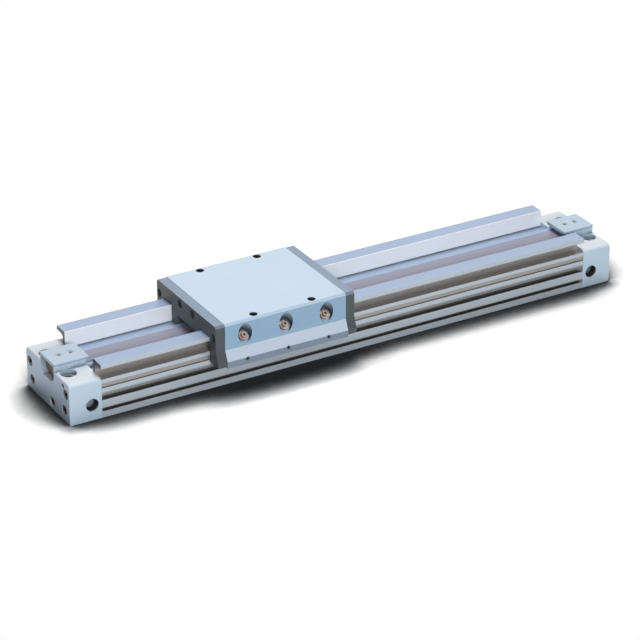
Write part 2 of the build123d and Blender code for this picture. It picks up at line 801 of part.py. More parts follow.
# Fixed bearing on the far side and adjustable bearing on the near side
bearing_half = rail_groove_height / 2 - bearing_gap
nose_y = half_width - groove_straight + bearing_nose_gap - bearing_gap
bearing_length = table_length - 0.4
for name, sign, flange_outer in (
    ("bearing_fixed", 1, bearing_flange_outer),
    ("bearing_adjustable", -1, near_flange_outer),
):
    with BuildPart() as bearing:
        with BuildSketch(Plane.YZ.offset(table_centre - bearing_length / 2)):
            with Locations((sign * nose_y, groove_z)):
                Circle(bearing_half)
            with Locations((sign * (nose_y + flange_outer) / 2, groove_z)):
                Rectangle(flange_outer - nose_y, 2 * bearing_half)
            with Locations((sign * (bearing_flange_inner + flange_outer) / 2, groove_z)):
                Rectangle(flange_outer - bearing_flange_inner, flange_high - flange_low)
        extrude(amount=bearing_length)
    finish(bearing.part, name)

# Arm that presses the adjustable bearing into its groove
with BuildPart() as adjusting_arm:
    with BuildSketch(Plane.YZ.offset(table_centre - bearing_length / 2)):
        with BuildLine():
            Polyline(
                (-near_flange_outer, arm_bottom),
                (-arm_outer, arm_bottom),
                (-arm_outer, arm_bevel_start),
                (-near_flange_outer, arm_bevel_offset - near_flange_outer),
                close=True,
            )
        make_face()
    extrude(amount=bearing_length)
finish(adjusting_arm.part, "adjusting_arm")

# Pads between the top of the rails and the underside of the table
for name, sign in (("top_bearing_near", -1), ("top_bearing_far", 1)):
    with BuildPart() as top_bearing:
        with BuildSketch(Plane.XY.offset(rail_top + top_bearing_gap)):
            with Locations((table_centre, sign * (top_bearing_inner + top_bearing_outer) / 2)):
                Rectangle(top_bearing_length, top_bearing_outer - top_bearing_inner)
        extrude(amount=table_underside - rail_top - top_bearing_gap)
    finish(top_bearing.part, name)

# Adjusting screws, lock nuts and the set screws that lock the arm
adjuster_planes = [Plane(origin=(table_centre + x, recess_y, recess_z), z_dir=tilt) for x in adjuster_x]
with BuildPart() as adjusting_screws:
    for plane in adjuster_planes:
        with BuildSketch(plane.offset(-adjuster_reach)):
            Circle(adjuster_radius)
        extrude(amount=adjuster_length)
        with BuildSketch(plane.offset(adjuster_length - adjuster_reach)):
            RegularPolygon(adjuster_radius * set_screw_socket_share, 6, major_radius=False)
        extrude(amount=-adjuster_length / 2, mode=Mode.SUBTRACT)
finish(adjusting_screws.part, "adjusting_screws")

with BuildPart() as lock_nuts:
    for plane in adjuster_planes:
        with BuildSketch(plane.offset(-recess_depth)):
            RegularPolygon(lock_nut_width / 2, 6, major_radius=False)
            Circle(adjuster_radius + thread_clearance, mode=Mode.SUBTRACT)
        extrude(amount=lock_nut_height)
finish(lock_nuts.part, "lock_nuts")

with BuildPart() as lock_set_screws:
    for x in adjuster_x:
        with BuildSketch(Plane.XZ.offset(arm_outer)):
            with Locations((table_centre + x, lock_screw_z)):
                Circle(m3_radius)
        extrude(amount=lock_screw_length)
        with BuildSketch(Plane.XZ.offset(arm_outer + lock_screw_length)):
            with Locations((table_centre + x, lock_screw_z)):
                RegularPolygon(m3_radius * set_screw_socket_share, 6, major_radius=False)
        extrude(amount=-lock_screw_length / 2, mode=Mode.SUBTRACT)
finish(lock_set_screws.part, "lock_set_screws")

# Piston yoke: a body in the bore, a neck through the slit and a head in the channel
neck_half_width = 3.1
tunnel_half_width = 7.2
tunnel_floor = 13.0
tunnel_roof = 17.4
head_half_width = 11.0
head_bottom = 31.0
head_top = 39.5
head_tunnel_half_width = 8.2
head_tunnel_floor = 32.6
head_tunnel_roof = 34.8
piston_length = 25.0
stud_radius = 3.0
stud_length = 6.0
stud_z = 8.4
with BuildPart() as piston_yoke:
    with BuildSketch(Plane.YZ.offset(table_centre - yoke_half_length)):
        with Locations((0, bore_z)):
            SlotOverall(bore_width - 2 * piston_clearance, bore_height - 2 * piston_clearance)
        with Locations((0, tunnel_floor + bore_height / 2)):
            Rectangle(2 * tunnel_half_width, bore_height, mode=Mode.SUBTRACT)
    extrude(amount=2 * yoke_half_length)
    # Roof over the inner belt, neck and head
    with BuildSketch(Plane.YZ.offset(table_centre - neck_half_length)):
        body_top = bore_top - piston_clearance
        with Locations((0, (tunnel_roof + body_top) / 2)):
            Rectangle(2 * tunnel_half_width, body_top - tunnel_roof)
        with Locations((0, (tunnel_roof + head_bottom) / 2)):
            Rectangle(2 * neck_half_width, head_bottom - tunnel_roof)
        with Locations((0, (head_bottom + head_top) / 2)):
            Rectangle(2 * head_half_width, head_top - head_bottom)
        with Locations((0, (head_tunnel_floor + head_tunnel_roof) / 2)):
            Rectangle(
                2 * head_tunnel_half_width,
                head_tunnel_roof - head_tunnel_floor,
                mode=Mode.SUBTRACT,
            )
    extrude(amount=2 * neck_half_length)
    with BuildSketch(Plane.XY.offset(head_top)):
        with Locations((table_centre - pin_x, 0), (table_centre + pin_x, 0)):
            Circle(pin_radius + pin_clearance)
    extrude(amount=-(head_top - pin_bottom), mode=Mode.SUBTRACT)
finish(piston_yoke.part, "piston_yoke")

# Coupler between the yoke's head and the table, with its two pins
coupler_from_end = 16.0
coupler_length = table_length - 2 * coupler_from_end
coupler_gap = 0.15
with BuildPart() as coupler:
    with BuildSketch(Plane.XY.offset(head_top)):
        with Locations((table_centre, 0)):
            Rectangle(coupler_length, 2 * (recess_half_width - coupler_gap))
        with Locations((table_centre - pin_x, 0), (table_centre + pin_x, 0)):
            Circle(pin_radius + pin_clearance, mode=Mode.SUBTRACT)
    extrude(amount=recess_roof - head_top)
finish(coupler.part, "coupler")

with BuildPart() as coupler_pins:
    with BuildSketch(Plane.XY.offset(pin_bottom)):
        with Locations((table_centre - pin_x, 0), (table_centre + pin_x, 0)):
            Circle(pin_radius)
    extrude(amount=pin_top - pin_bottom)
finish(coupler_pins.part, "coupler_pins")

# Pistons with their seal, wear ring, magnet and cushion seal
seal_groove_depth = 2.2
seal_groove_width = 3.0
seal_from_face = 5.4
wear_groove_depth = 1.2
wear_groove_width = 5.0
wear_from_face = 11.0
magnet_size = 5.0
magnet_length = 7.0
magnet_y = 11.0
cushion_bore_radius = 5.2
cushion_bore_depth = 15.0
cushion_seal_width = 2.4
cushion_seal_depth = 1.6
cushion_seal_from_face = 2.0


def oval(inset):
    """An oval smaller all round than the bore by the given inset."""
    return bore_width - 2 * inset, bore_height - 2 * inset


for side, name in sides:
    inner_face = table_centre + side * yoke_half_length
    piston_face = inner_face + side * piston_length
    seal_plane = Plane.YZ.offset(piston_face - side * seal_from_face)
    wear_plane = Plane.YZ.offset(piston_face - side * wear_from_face)
    cushion_plane = Plane.YZ.offset(piston_face - side * cushion_seal_from_face)
    with BuildPart() as piston:
        with BuildSketch(Plane.YZ.offset(inner_face)):
            with Locations((0, bore_z)):
                SlotOverall(*oval(piston_clearance))
        extrude(amount=side * piston_length)
        for plane, width, depth in (
            (seal_plane, seal_groove_width, seal_groove_depth),
            (wear_plane, wear_groove_width, wear_groove_depth),
        ):
            with BuildSketch(plane):
                with Locations((0, bore_z)):
                    SlotOverall(*oval(piston_clearance - 1))
                    SlotOverall(*oval(piston_clearance + depth), mode=Mode.SUBTRACT)
            extrude(amount=-side * width, mode=Mode.SUBTRACT)
        with BuildSketch(Plane.YZ.offset(piston_face)):
            with Locations((0, bore_z)):
                Circle(cushion_bore_radius)
        extrude(amount=-side * cushion_bore_depth, mode=Mode.SUBTRACT)
        with BuildSketch(cushion_plane):
            with Locations((0, bore_z)):
                Circle(cushion_bore_radius + cushion_seal_depth)
        extrude(amount=-side * cushion_seal_width, mode=Mode.SUBTRACT)
        with BuildSketch(Plane.YZ.offset(inner_face)):
            with Locations((-magnet_y, bore_z)):
                Rectangle(magnet_size + 2 * thread_clearance, magnet_size + 2 * thread_clearance)
        extrude(amount=side * magnet_length, mode=Mode.SUBTRACT)
    finish(piston.part, f"piston_{name}")

    rings = (
        ("piston_seal", seal_plane, seal_groove_width, seal_clearance, seal_groove_depth),
        ("wear_ring", wear_plane, wear_groove_width, wear_clearance, wear_groove_depth),
    )
    for ring_name, plane, width, clearance, depth in rings:
        with BuildPart() as ring:
            with BuildSketch(plane.offset(-side * thread_clearance)):
                with Locations((0, bore_z)):
                    SlotOverall(*oval(clearance))
                    SlotOverall(*oval(piston_clearance + depth - thread_clearance), mode=Mode.SUBTRACT)
            extrude(amount=-side * (width - 2 * thread_clearance))
        finish(ring.part, f"{ring_name}_{name}")

    with BuildPart() as cushion_seal:
        with BuildSketch(cushion_plane.offset(-side * thread_clearance)):
            with Locations((0, bore_z)):
                Circle(cushion_bore_radius + cushion_seal_depth - thread_clearance)
                Circle(boss_radius + soft_clearance, mode=Mode.SUBTRACT)
        extrude(amount=-side * (cushion_seal_width - 2 * thread_clearance))
    finish(cushion_seal.part, f"cushion_seal_{name}")

    with BuildPart() as magnet:
        with BuildSketch(Plane.YZ.offset(inner_face)):
            with Locations((-magnet_y, bore_z)):
                Rectangle(magnet_size, magnet_size)
        extrude(amount=side * (magnet_length - thread_clearance))
    finish(magnet.part, f"magnet_{name}")

# Belt separators: wedges that press the inner belt back into its seat behind the yoke
separator_from_neck = 4.0
separator_start = neck_half_length + separator_from_neck
separator_end_inset = 1.5
separator_end = yoke_half_length - separator_end_inset
separator_gap = 0.35
separator_half_width = 6.4
ramp_slope = (inner_belt_z - dip_z) / (dip_end - dip_half_length)
for side, name in sides:
    with BuildPart() as belt_separator:
        with BuildSketch(Plane.XZ.offset(-separator_half_width)):
            with BuildLine():
                start_z = dip_z + ramp_slope * (separator_start - dip_half_length) - separator_gap
                Polyline(
                    (table_centre + side * separator_start, tunnel_floor),
                    (table_centre + side * separator_start, start_z),
                    (table_centre + side * dip_end, inner_belt_z - separator_gap),
                    (table_centre + side * separator_end, inner_belt_z - separator_gap),
                    (table_centre + side * separator_end, tunnel_floor),
                    close=True,
                )
            make_face()
        extrude(amount=2 * separator_half_width)
    finish(belt_separator.part, f"belt_separator_{name}")

# Guide blocks whose rollers press the outer belt back onto the tube
block_end_gap = 0.2
block_length = 10.3
block_outer = table_length / 2 - block_end_gap
block_inner = block_outer - block_length
block_bottom = 31.2
block_pocket_half_width = 8.2
block_pocket_top = 40.0
roller_inset = 3.8
roller_x = block_outer - roller_inset
roller_radius = 4.0
roller_half_width = 7.2
roller_gap = 0.15
roller_running_fit = 0.06
shaft_radius = 1.5
shaft_half_length = 10.6
roller_z = outer_seat_z + outer_belt_thickness + roller_gap + roller_radius
for side, name in sides:
    block_middle = table_centre + side * (block_inner + block_outer) / 2
    with BuildPart() as belt_guide_block:
        with BuildSketch(Plane.YZ.offset(table_centre + side * block_inner)):
            with Locations((0, (block_bottom + recess_roof) / 2)):
                Rectangle(2 * (recess_half_width - coupler_gap), recess_roof - block_bottom)
            with Locations((0, (block_bottom + block_pocket_top) / 2)):
                Rectangle(
                    2 * block_pocket_half_width,
                    block_pocket_top - block_bottom,
                    mode=Mode.SUBTRACT,
                )
        extrude(amount=side * (block_outer - block_inner))
        with BuildSketch(Plane.XZ.offset(-shaft_half_length - pin_clearance)):
            with Locations((table_centre + side * roller_x, roller_z)):
                Circle(shaft_radius + pin_clearance)
        extrude(amount=2 * (shaft_half_length + pin_clearance), mode=Mode.SUBTRACT)
    finish(belt_guide_block.part, f"belt_guide_block_{name}")

    with BuildPart() as guide_roller:
        with BuildSketch(Plane.XZ.offset(-roller_half_width)):
            with Locations((table_centre + side * roller_x, roller_z)):
                Circle(roller_radius)
                Circle(shaft_radius + roller_running_fit, mode=Mode.SUBTRACT)
        extrude(amount=2 * roller_half_width)
    finish(guide_roller.part, f"guide_roller_{name}")

    with BuildPart() as roller_shaft:
        with BuildSketch(Plane.XZ.offset(-shaft_half_length)):
            with Locations((table_centre + side * roller_x, roller_z)):
                Circle(shaft_radius)
        extrude(amount=2 * shaft_half_length)
    finish(roller_shaft.part, f"roller_shaft_{name}")
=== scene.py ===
# %% [markdown]
# # Dressing a rodless cylinder with a slide table
#
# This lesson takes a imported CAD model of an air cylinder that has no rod. A piston runs inside
# the grooved tube, a thin neck reaches out through a slit, and the slide table on top follows it.
# Two thin belts close the slit before and behind the table. The solids come in as a fixed frame:
# we never move them. We give each one the finish of the real metal, resin or rubber, and we model
# what solids show badly: belts that stay flat while the table moves, and the threads in the holes.

import json
import math

import bpy
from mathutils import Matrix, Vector


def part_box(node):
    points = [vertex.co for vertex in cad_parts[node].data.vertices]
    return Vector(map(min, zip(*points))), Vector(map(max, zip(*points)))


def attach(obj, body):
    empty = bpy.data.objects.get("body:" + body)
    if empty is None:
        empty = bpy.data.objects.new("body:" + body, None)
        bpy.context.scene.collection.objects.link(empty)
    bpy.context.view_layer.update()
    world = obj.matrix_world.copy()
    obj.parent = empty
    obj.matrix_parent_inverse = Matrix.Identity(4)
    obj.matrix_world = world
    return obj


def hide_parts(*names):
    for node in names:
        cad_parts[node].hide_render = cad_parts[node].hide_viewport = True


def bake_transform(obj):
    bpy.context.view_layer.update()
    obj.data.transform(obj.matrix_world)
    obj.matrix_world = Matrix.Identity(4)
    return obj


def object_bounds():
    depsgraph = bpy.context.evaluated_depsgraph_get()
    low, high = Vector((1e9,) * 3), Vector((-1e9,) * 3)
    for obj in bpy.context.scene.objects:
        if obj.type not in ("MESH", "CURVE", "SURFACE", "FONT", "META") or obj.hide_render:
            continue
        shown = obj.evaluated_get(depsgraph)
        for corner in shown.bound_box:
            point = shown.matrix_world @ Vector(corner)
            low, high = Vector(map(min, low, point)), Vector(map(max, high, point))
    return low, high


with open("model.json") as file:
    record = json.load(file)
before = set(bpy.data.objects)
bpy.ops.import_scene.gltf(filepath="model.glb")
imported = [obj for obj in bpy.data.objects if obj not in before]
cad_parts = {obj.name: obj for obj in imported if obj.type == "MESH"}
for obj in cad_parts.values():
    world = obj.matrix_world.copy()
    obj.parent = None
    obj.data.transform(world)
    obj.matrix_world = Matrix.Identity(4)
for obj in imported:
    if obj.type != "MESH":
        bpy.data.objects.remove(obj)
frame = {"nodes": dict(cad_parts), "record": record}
nodes = frame["nodes"]
cad_box = [list(corner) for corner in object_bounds()]
print("CAD nodes:", len(nodes), "size in metres:", [round(b - a, 4) for a, b in zip(*cad_box)])

# %% [markdown]
# ## Places
#
# All lengths are in metres, because that is the frame's unit.

# %% Name the places
MM = 0.001
table_low, table_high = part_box("slide_table")
table_middle = (table_low.x + table_high.x) / 2
tube_low, tube_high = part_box("cylinder_tube")
print("table middle at x =", round(table_middle, 5), "tube ends at x =", round(tube_high.x, 5))

# %% [markdown]
# ## The camera
#
# The photograph looks down on the left end from the near side, through a long lens, so lines that
# run along the tube stay almost parallel. A solved camera is better than one set by eye: its
# direction, distance and lens below come from measured edges of the photograph, in widths of the
# tube. `back` is the direction from the object to the camera, and the two smaller offsets centre
# the picture.

# %% Place the camera
AZIMUTH = math.radians(-30.08)
ELEVATION = math.radians(27.14)
TUBE_WIDTH = 70 * MM
CAMERA_DISTANCE = 28.635 * TUBE_WIDTH
CAMERA_RIGHT = 2.4596 * TUBE_WIDTH
CAMERA_UP = 1.0484 * TUBE_WIDTH
NEAR_LEFT_CORNER = Vector((cad_box[0][0], tube_low.y, 0))
SENSOR_WIDTH_MM = 36
LENS_MM = 163.3
NEAREST_SEEN = 0.05
FARTHEST_SEEN = 30

level = math.cos(ELEVATION)
back = Vector((math.sin(AZIMUTH) * level, -math.cos(AZIMUTH) * level, math.sin(ELEVATION)))
rightward = Vector((math.cos(AZIMUTH), math.sin(AZIMUTH), 0))
upward = back.cross(rightward)
camera_data = bpy.data.cameras.new("photo_camera")
camera_data.sensor_width = SENSOR_WIDTH_MM
camera_data.lens = LENS_MM
camera_data.clip_start = NEAREST_SEEN
camera_data.clip_end = FARTHEST_SEEN
camera = bpy.data.objects.new("photo_camera", camera_data)
bpy.context.scene.collection.objects.link(camera)
centred = NEAR_LEFT_CORNER + rightward * CAMERA_RIGHT + upward * CAMERA_UP
camera.location = centred + back * CAMERA_DISTANCE
camera.rotation_mode = "QUATERNION"
camera.rotation_quaternion = (-back).to_track_quat("-Z", "Y")
bpy.context.scene.camera = camera
# Standard shows a colour as it is written, where the default view would grey it like film
bpy.context.scene.view_settings.view_transform = "Standard"
print("camera at", [round(v, 3) for v in camera.location])

# %% [markdown]
# ## Helpers for materials
#
# Colours are picked as they look on a screen, as hex values, but Blender calculates with linear
# light. One function turns the one into the other. A second function adds a node with its settings
# and wires it up in one line, which keeps each material short enough to read. An input is given by
# its name, or as i and its number where a node has several of one name. The Mix node is such a
# one: with colours it takes the share at i0 and the two colours at i6 and i7, and its result comes
# out at number 2.

# %% Write the helpers
MIX_COLOURS = {"data_type": "RGBA"}


def colour(hex_value):
    """A screen colour such as 'C0C8D0' as linear red, green, blue and alpha."""
    channels = [int(hex_value[i : i + 2], 16) / 255 for i in (0, 2, 4)]
    linear = [c / 12.92 if c <= 0.04045 else ((c + 0.055) / 1.055) ** 2.4 for c in channels]
    return (*linear, 1.0)


def add_node(tree, kind, settings=None, **inputs):
    """Adds a node, sets its options, and fills or links its inputs by name or number."""
    node = tree.nodes.new(kind)
    for name, value in (settings or {}).items():
        setattr(node, name, value)
    for name, value in inputs.items():
        numbered = name[0] == "i" and name[1:].isdigit()
        socket = node.inputs[int(name[1:]) if numbered else name.replace("_", " ")]
        if isinstance(value, bpy.types.NodeSocket):
            tree.links.new(value, socket)
        else:
            socket.default_value = value
    return node


def empty_material(name):
    """A new material with nothing in it but its output node."""
    material = bpy.data.materials.new(name)
    material.use_nodes = True
    material.node_tree.nodes.clear()
    output = material.node_tree.nodes.new("ShaderNodeOutputMaterial")
    return material, material.node_tree, output


# %% [markdown]
# ## Floor, backdrop and light
#
# The object stands on white paper, with a soft shadow that falls towards us and to the right. Paper
# that throws all its light back up would wash out the undersides, so Light Path tells the rays
# apart: to the camera, and in mirror-like metal, the floor and the room are white, while the light
# that they throw on the object is weaker.

# %% Tell the rays apart
ROOM_SEEN = 1.0


def seen_by_eye(tree):
    """One where a ray comes from the camera, a gloss or a pane, and zero for soft light."""
    path = add_node(tree, "ShaderNodeLightPath")
    sharp = add_node(
        tree,
        "ShaderNodeMath",
        {"operation": "MAXIMUM"},
        i0=path.outputs["Is Glossy Ray"],
        i1=path.outputs["Is Transmission Ray"],
    )
    either = add_node(
        tree,
        "ShaderNodeMath",
        {"operation": "MAXIMUM"},
        i0=path.outputs["Is Camera Ray"],
        i1=sharp.outputs[0],
    )
    return either.outputs[0]


# %% [markdown]
# ### The paper
#
# The paper lies a hair below the object, so that the two never share a plane. Where the object
# stands close, the real paper is hidden from most of the room, and that gives the narrow, dark
# shadow of the photograph. More lamps could do it, but the Ambient Occlusion node measures that
# closeness and needs none.

# %% Lay the paper
FLOOR_SIZE = 12
FLOOR_DROP = 0.2 * MM
PAPER_SEEN = 1.4
PAPER_BOUNCE = 0.30
SHADOW_REACH = 44 * MM
SHADOW_FULL = 0.57
SHADOW_DEEPEST = 0.03
SHADE_SAMPLES = 12

bpy.ops.object.select_all(action="DESELECT")
bpy.ops.mesh.primitive_grid_add(
    x_subdivisions=8, y_subdivisions=8, size=FLOOR_SIZE, location=(0, 0, -FLOOR_DROP)
)
floor = bpy.context.object
floor.name = "studio_floor"
floor_material, tree, output = empty_material("white_paper_floor")
seen = seen_by_eye(tree)
paper = add_node(
    tree,
    "ShaderNodeMix",
    MIX_COLOURS,
    i0=seen,
    i6=(PAPER_BOUNCE, PAPER_BOUNCE, PAPER_BOUNCE, 1),
    i7=(PAPER_SEEN, PAPER_SEEN, PAPER_SEEN, 1),
)
# Painted shadow: the paper's colour is darkened where the object stands close
contact = add_node(
    tree, "ShaderNodeAmbientOcclusion", {"samples": SHADE_SAMPLES}, Distance=SHADOW_REACH
)
shadow = add_node(
    tree,
    "ShaderNodeMapRange",
    {"interpolation_type": "SMOOTHSTEP"},
    Value=contact.outputs["AO"],
    From_Min=SHADOW_FULL,
    From_Max=1.0,
    To_Min=SHADOW_DEEPEST,
    To_Max=1.0,
)
shadowed = add_node(
    tree,
    "ShaderNodeVectorMath",
    {"operation": "SCALE"},
    i0=paper.outputs[2],
    Scale=shadow.outputs[0],
)
near_paper = add_node(tree, "ShaderNodeBsdfDiffuse", Color=shadowed.outputs[0])
print("paper:", FLOOR_SIZE, "m square, its shadow reaches", SHADOW_REACH, "m")

# %% [markdown]
# ### The paper far away
#
# The lamps stand close and light only the middle of the paper, and further out it would turn grey.
# A bigger lamp would cure that, but change the light on the object. So the paper simply becomes
# white there, for the rays that see it.

# %% Whiten the paper far away
PAPER_LIT_RADIUS = 0.30
PAPER_FADE = 0.15

floor_place = add_node(tree, "ShaderNodeTexCoord")
from_middle = add_node(
    tree, "ShaderNodeVectorMath", {"operation": "LENGTH"}, i0=floor_place.outputs["Object"]
)
far_off = add_node(
    tree,
    "ShaderNodeMapRange",
    Value=from_middle.outputs["Value"],
    From_Min=PAPER_LIT_RADIUS,
    From_Max=PAPER_LIT_RADIUS + PAPER_FADE,
)
far_and_seen = add_node(
    tree, "ShaderNodeMath", {"operation": "MULTIPLY"}, i0=far_off.outputs[0], i1=seen
)
white = add_node(tree, "ShaderNodeEmission", Color=(1, 1, 1, 1), Strength=ROOM_SEEN)
both = add_node(
    tree,
    "ShaderNodeMixShader",
    i0=far_and_seen.outputs[0],
    i1=near_paper.outputs[0],
    i2=white.outputs[0],
)
tree.links.new(both.outputs[0], output.inputs["Surface"])
floor.data.materials.append(floor_material)
print("paper is plain white beyond", PAPER_LIT_RADIUS + PAPER_FADE, "m")

# %% [markdown]
# ### Room and lamps
#
# Two big soft lamps light the object, as in a studio: a key that hangs above and a little behind,
# and a fill in front, to the left. A lit backdrop could give the white room, but the world does it
# with one node. It is weak as light, so that the lamps still shape the object.

# %% Light the world
ROOM_LIGHT = 0.10

world = bpy.data.worlds.new("studio_world")
bpy.context.scene.world = world
world.use_nodes = True
tree = world.node_tree
tree.nodes.clear()
output = tree.nodes.new("ShaderNodeOutputWorld")
strength = add_node(
    tree, "ShaderNodeMapRange", Value=seen_by_eye(tree), To_Min=ROOM_LIGHT, To_Max=ROOM_SEEN
)
sky = add_node(tree, "ShaderNodeBackground", Color=(1, 1, 1, 1), Strength=strength.outputs[0])
tree.links.new(sky.outputs[0], output.inputs["Surface"])
print("room:", ROOM_SEEN, "to the eye,", ROOM_LIGHT, "as light")


# %% Hang the lamps
def soft_lamp(name, place, target, width, height, watts, tint):
    """A flat area lamp at a place, turned to face a target."""
    data = bpy.data.lights.new(name, "AREA")
    data.shape = "RECTANGLE"
    data.size = width
    data.size_y = height
    data.energy = watts
    data.color = colour(tint)[:3]
    lamp = bpy.data.objects.new(name, data)
    bpy.context.scene.collection.objects.link(lamp)
    lamp.location = place
    lamp.rotation_mode = "QUATERNION"
    lamp.rotation_quaternion = (Vector(target) - Vector(place)).to_track_quat("-Z", "Y")
    # Satin metal mirrors the even white room, not the lamp, so no side of it burns out
    lamp.visible_glossy = False


soft_lamp(
    "key_overhead",
    place=(0.12, 0.5, 1.7),
    target=(0, 0, 0),
    width=0.5,
    height=0.5,
    watts=21.0,
    tint="FFFDFA",
)
soft_lamp(
    "fill_front",
    place=(-0.41, -1.52, 0.64),
    target=(0, 0, 0.02),
    width=0.9,
    height=0.3,
    watts=20.0,
    tint="F8FAFF",
)

# %% [markdown]
# ## Anodised aluminium
#
# Most of the cylinder is aluminium under a clear anodic layer. Anodising leaves a fine satin
# surface, so it reflects the room as a blur, with a roughness near 0.4. How it was made shows in its
# grain. The tube was pushed through a die, which leaves fine straight lines along it. The table and
# end covers were milled, which leaves a faint even grain. The real lines are finer than the picture
# can show, so they are drawn a few times coarser, and faint. The cells below add one effect each.

# %% [markdown]
# ### One tint for each direction
#
# Each face of a block takes the tint of the direction it looks in: one for the top, one for the long
# sides and one for the ends. Besides the metal's own colour, these tints hold painted light: the tops
# paler, the sides and ends darker, as the light falls on them. We could split the mesh for that. The
# squares of a normal's three parts always add up to one, so they can mix the three tints instead.


# %% Tint a face by its direction
def facing_shares(tree, where):
    """How far a face looks along X, Y and Z: the squares of its normal, which add up to one."""
    squared = add_node(
        tree,
        "ShaderNodeVectorMath",
        {"operation": "MULTIPLY"},
        i0=where.outputs["Normal"],
        i1=where.outputs["Normal"],
    )
    return add_node(tree, "ShaderNodeSeparateXYZ", Vector=squared.outputs[0])


def lit_tone_by_facing(tree, where, top, side, end):
    """One tint for faces that look up or down, one for the long sides and one for the ends; the tints
    hold painted light as well as colour.
    """
    share = facing_shares(tree, where)
    ends = add_node(
        tree, "ShaderNodeMix", MIX_COLOURS, i0=share.outputs["X"], i6=colour(top), i7=colour(end)
    )
    sides = add_node(
        tree,
        "ShaderNodeMix",
        MIX_COLOURS,
        i0=share.outputs["Y"],
        i6=ends.outputs[2],
        i7=colour(side),
    )
    return sides.outputs[2]


# %% [markdown]
# ### Shade inside bores and grooves
#
# A drilled hole or a narrow groove looks much darker than the face around it, because little light
# finds its way in and out again. Rendering finds some of that by itself, but a satin metal in a white
# room still glows, so more shade is painted into the colour here. The Ambient Occlusion node tells
# how closely the same solid closes in round a point, and the colour is darkened by it. It could be
# baked to a map, but the node needs none.

# %% Darken bores and grooves
BORE_REACH_MM = 7.0
BORE_SHADE = 0.10
BORE_CLOSED = 0.25
BORE_OPEN = 0.85


def painted_shade_in_bores(tree, surface, reach_mm):
    """Paints shade into a colour: scales it down where the same solid closes in round it, as in a
    bore or a groove.
    """
    nearness = add_node(
        tree,
        "ShaderNodeAmbientOcclusion",
        {"samples": SHADE_SAMPLES, "only_local": True},
        Distance=reach_mm * MM,
    )
    dimmed = add_node(
        tree,
        "ShaderNodeMapRange",
        Value=nearness.outputs["AO"],
        From_Min=BORE_CLOSED,
        From_Max=BORE_OPEN,
        To_Min=BORE_SHADE,
        To_Max=1.0,
    )
    shaded = add_node(
        tree, "ShaderNodeVectorMath", {"operation": "SCALE"}, i0=surface, Scale=dimmed.outputs[0]
    )
    return shaded.outputs[0]


# %% [markdown]
# ### The dark ends of the tube
#
# The tube's two end faces are given a dull, dark tint. They could be a second material on those
# faces, but the CAD mesh is not ours to change. The place along the tube tells them apart just as
# well: beyond the end plane, the colour switches.

# %% Darken the tube's ends
TUBE_END_TINT = "2A2C31"
TUBE_END_DEPTH = 0.05 * MM


def dark_tube_ends(tree, where, surface):
    """The tube's end faces, beyond the end plane, take a dull, dark tint."""
    split = add_node(tree, "ShaderNodeSeparateXYZ", Vector=where.outputs["Object"])
    along = add_node(tree, "ShaderNodeMath", {"operation": "ABSOLUTE"}, i0=split.outputs["X"])
    at_end = add_node(
        tree,
        "ShaderNodeMath",
        {"operation": "GREATER_THAN"},
        i0=along.outputs[0],
        i1=tube_high.x - TUBE_END_DEPTH,
    )
    mixed = add_node(
        tree, "ShaderNodeMix", MIX_COLOURS, i0=at_end.outputs[0], i6=surface, i7=colour(TUBE_END_TINT)
    )
    return mixed.outputs[2]


# %% [markdown]
# ### The flanks of the tube
#
# Outside the rails the tube is a plain grey on every face, and darker and browner deep in the
# grooves, as painted shade. Two materials would need two sets of faces, so height and depth pick the
# places here as well.

# %% Keep the tube's flanks plain
FLANK_START_Y = 22.95 * MM
FLANK_TOP_Z = 40.9 * MM
# Painted shade: the darker, browner tint of faces set back into the grooves
GROOVE_SHADE_TINT = "A29E9A"
GROOVE_DEPTH = 0.4 * MM


def flanks_with_groove_shade(tree, where, surface, tint):
    """Outside the rails and below their tops, the tube is one plain grey on every face, darker and
    browner in the grooves as painted shade.
    """
    split = add_node(tree, "ShaderNodeSeparateXYZ", Vector=where.outputs["Object"])
    across = add_node(tree, "ShaderNodeMath", {"operation": "ABSOLUTE"}, i0=split.outputs["Y"])
    outside = add_node(
        tree,
        "ShaderNodeMath",
        {"operation": "GREATER_THAN"},
        i0=across.outputs[0],
        i1=FLANK_START_Y,
    )
    below = add_node(
        tree, "ShaderNodeMath", {"operation": "LESS_THAN"}, i0=split.outputs["Z"], i1=FLANK_TOP_Z
    )
    shaded_groove = add_node(
        tree,
        "ShaderNodeMath",
        {"operation": "LESS_THAN"},
        i0=across.outputs[0],
        i1=tube_high.y - GROOVE_DEPTH,
    )
    flank = add_node(
        tree,
        "ShaderNodeMix",
        MIX_COLOURS,
        i0=shaded_groove.outputs[0],
        i6=colour(tint),
        i7=colour(GROOVE_SHADE_TINT),
    )
    both = add_node(
        tree, "ShaderNodeMath", {"operation": "MULTIPLY"}, i0=outside.outputs[0], i1=below.outputs[0]
    )
    mixed = add_node(
        tree, "ShaderNodeMix", MIX_COLOURS, i0=both.outputs[0], i6=surface, i7=flank.outputs[2]
    )
    return mixed.outputs[2]


# %% [markdown]
# ### The skirt of the table
#
# The table's lower edge has a slanted facet with a lip under it. The facet takes a bright tint, as
# painted light where it faces up into the light, and the lip a darker one, as painted shade. The
# slope of a face tells the facet from the rest, and height tells the lip. Both stay right wherever
# the table moves, because it never tilts or rises.

# %% Paint light and shade on the table's skirt
FACET_LIGHT_TINT = "C8D4E2"
FACET_SLOPE = 0.79
FACET_SLOPE_REACH = 0.14
LIP_SHADE_TINT = "7A8998"
LIP_TOP_Z = 25.2 * MM


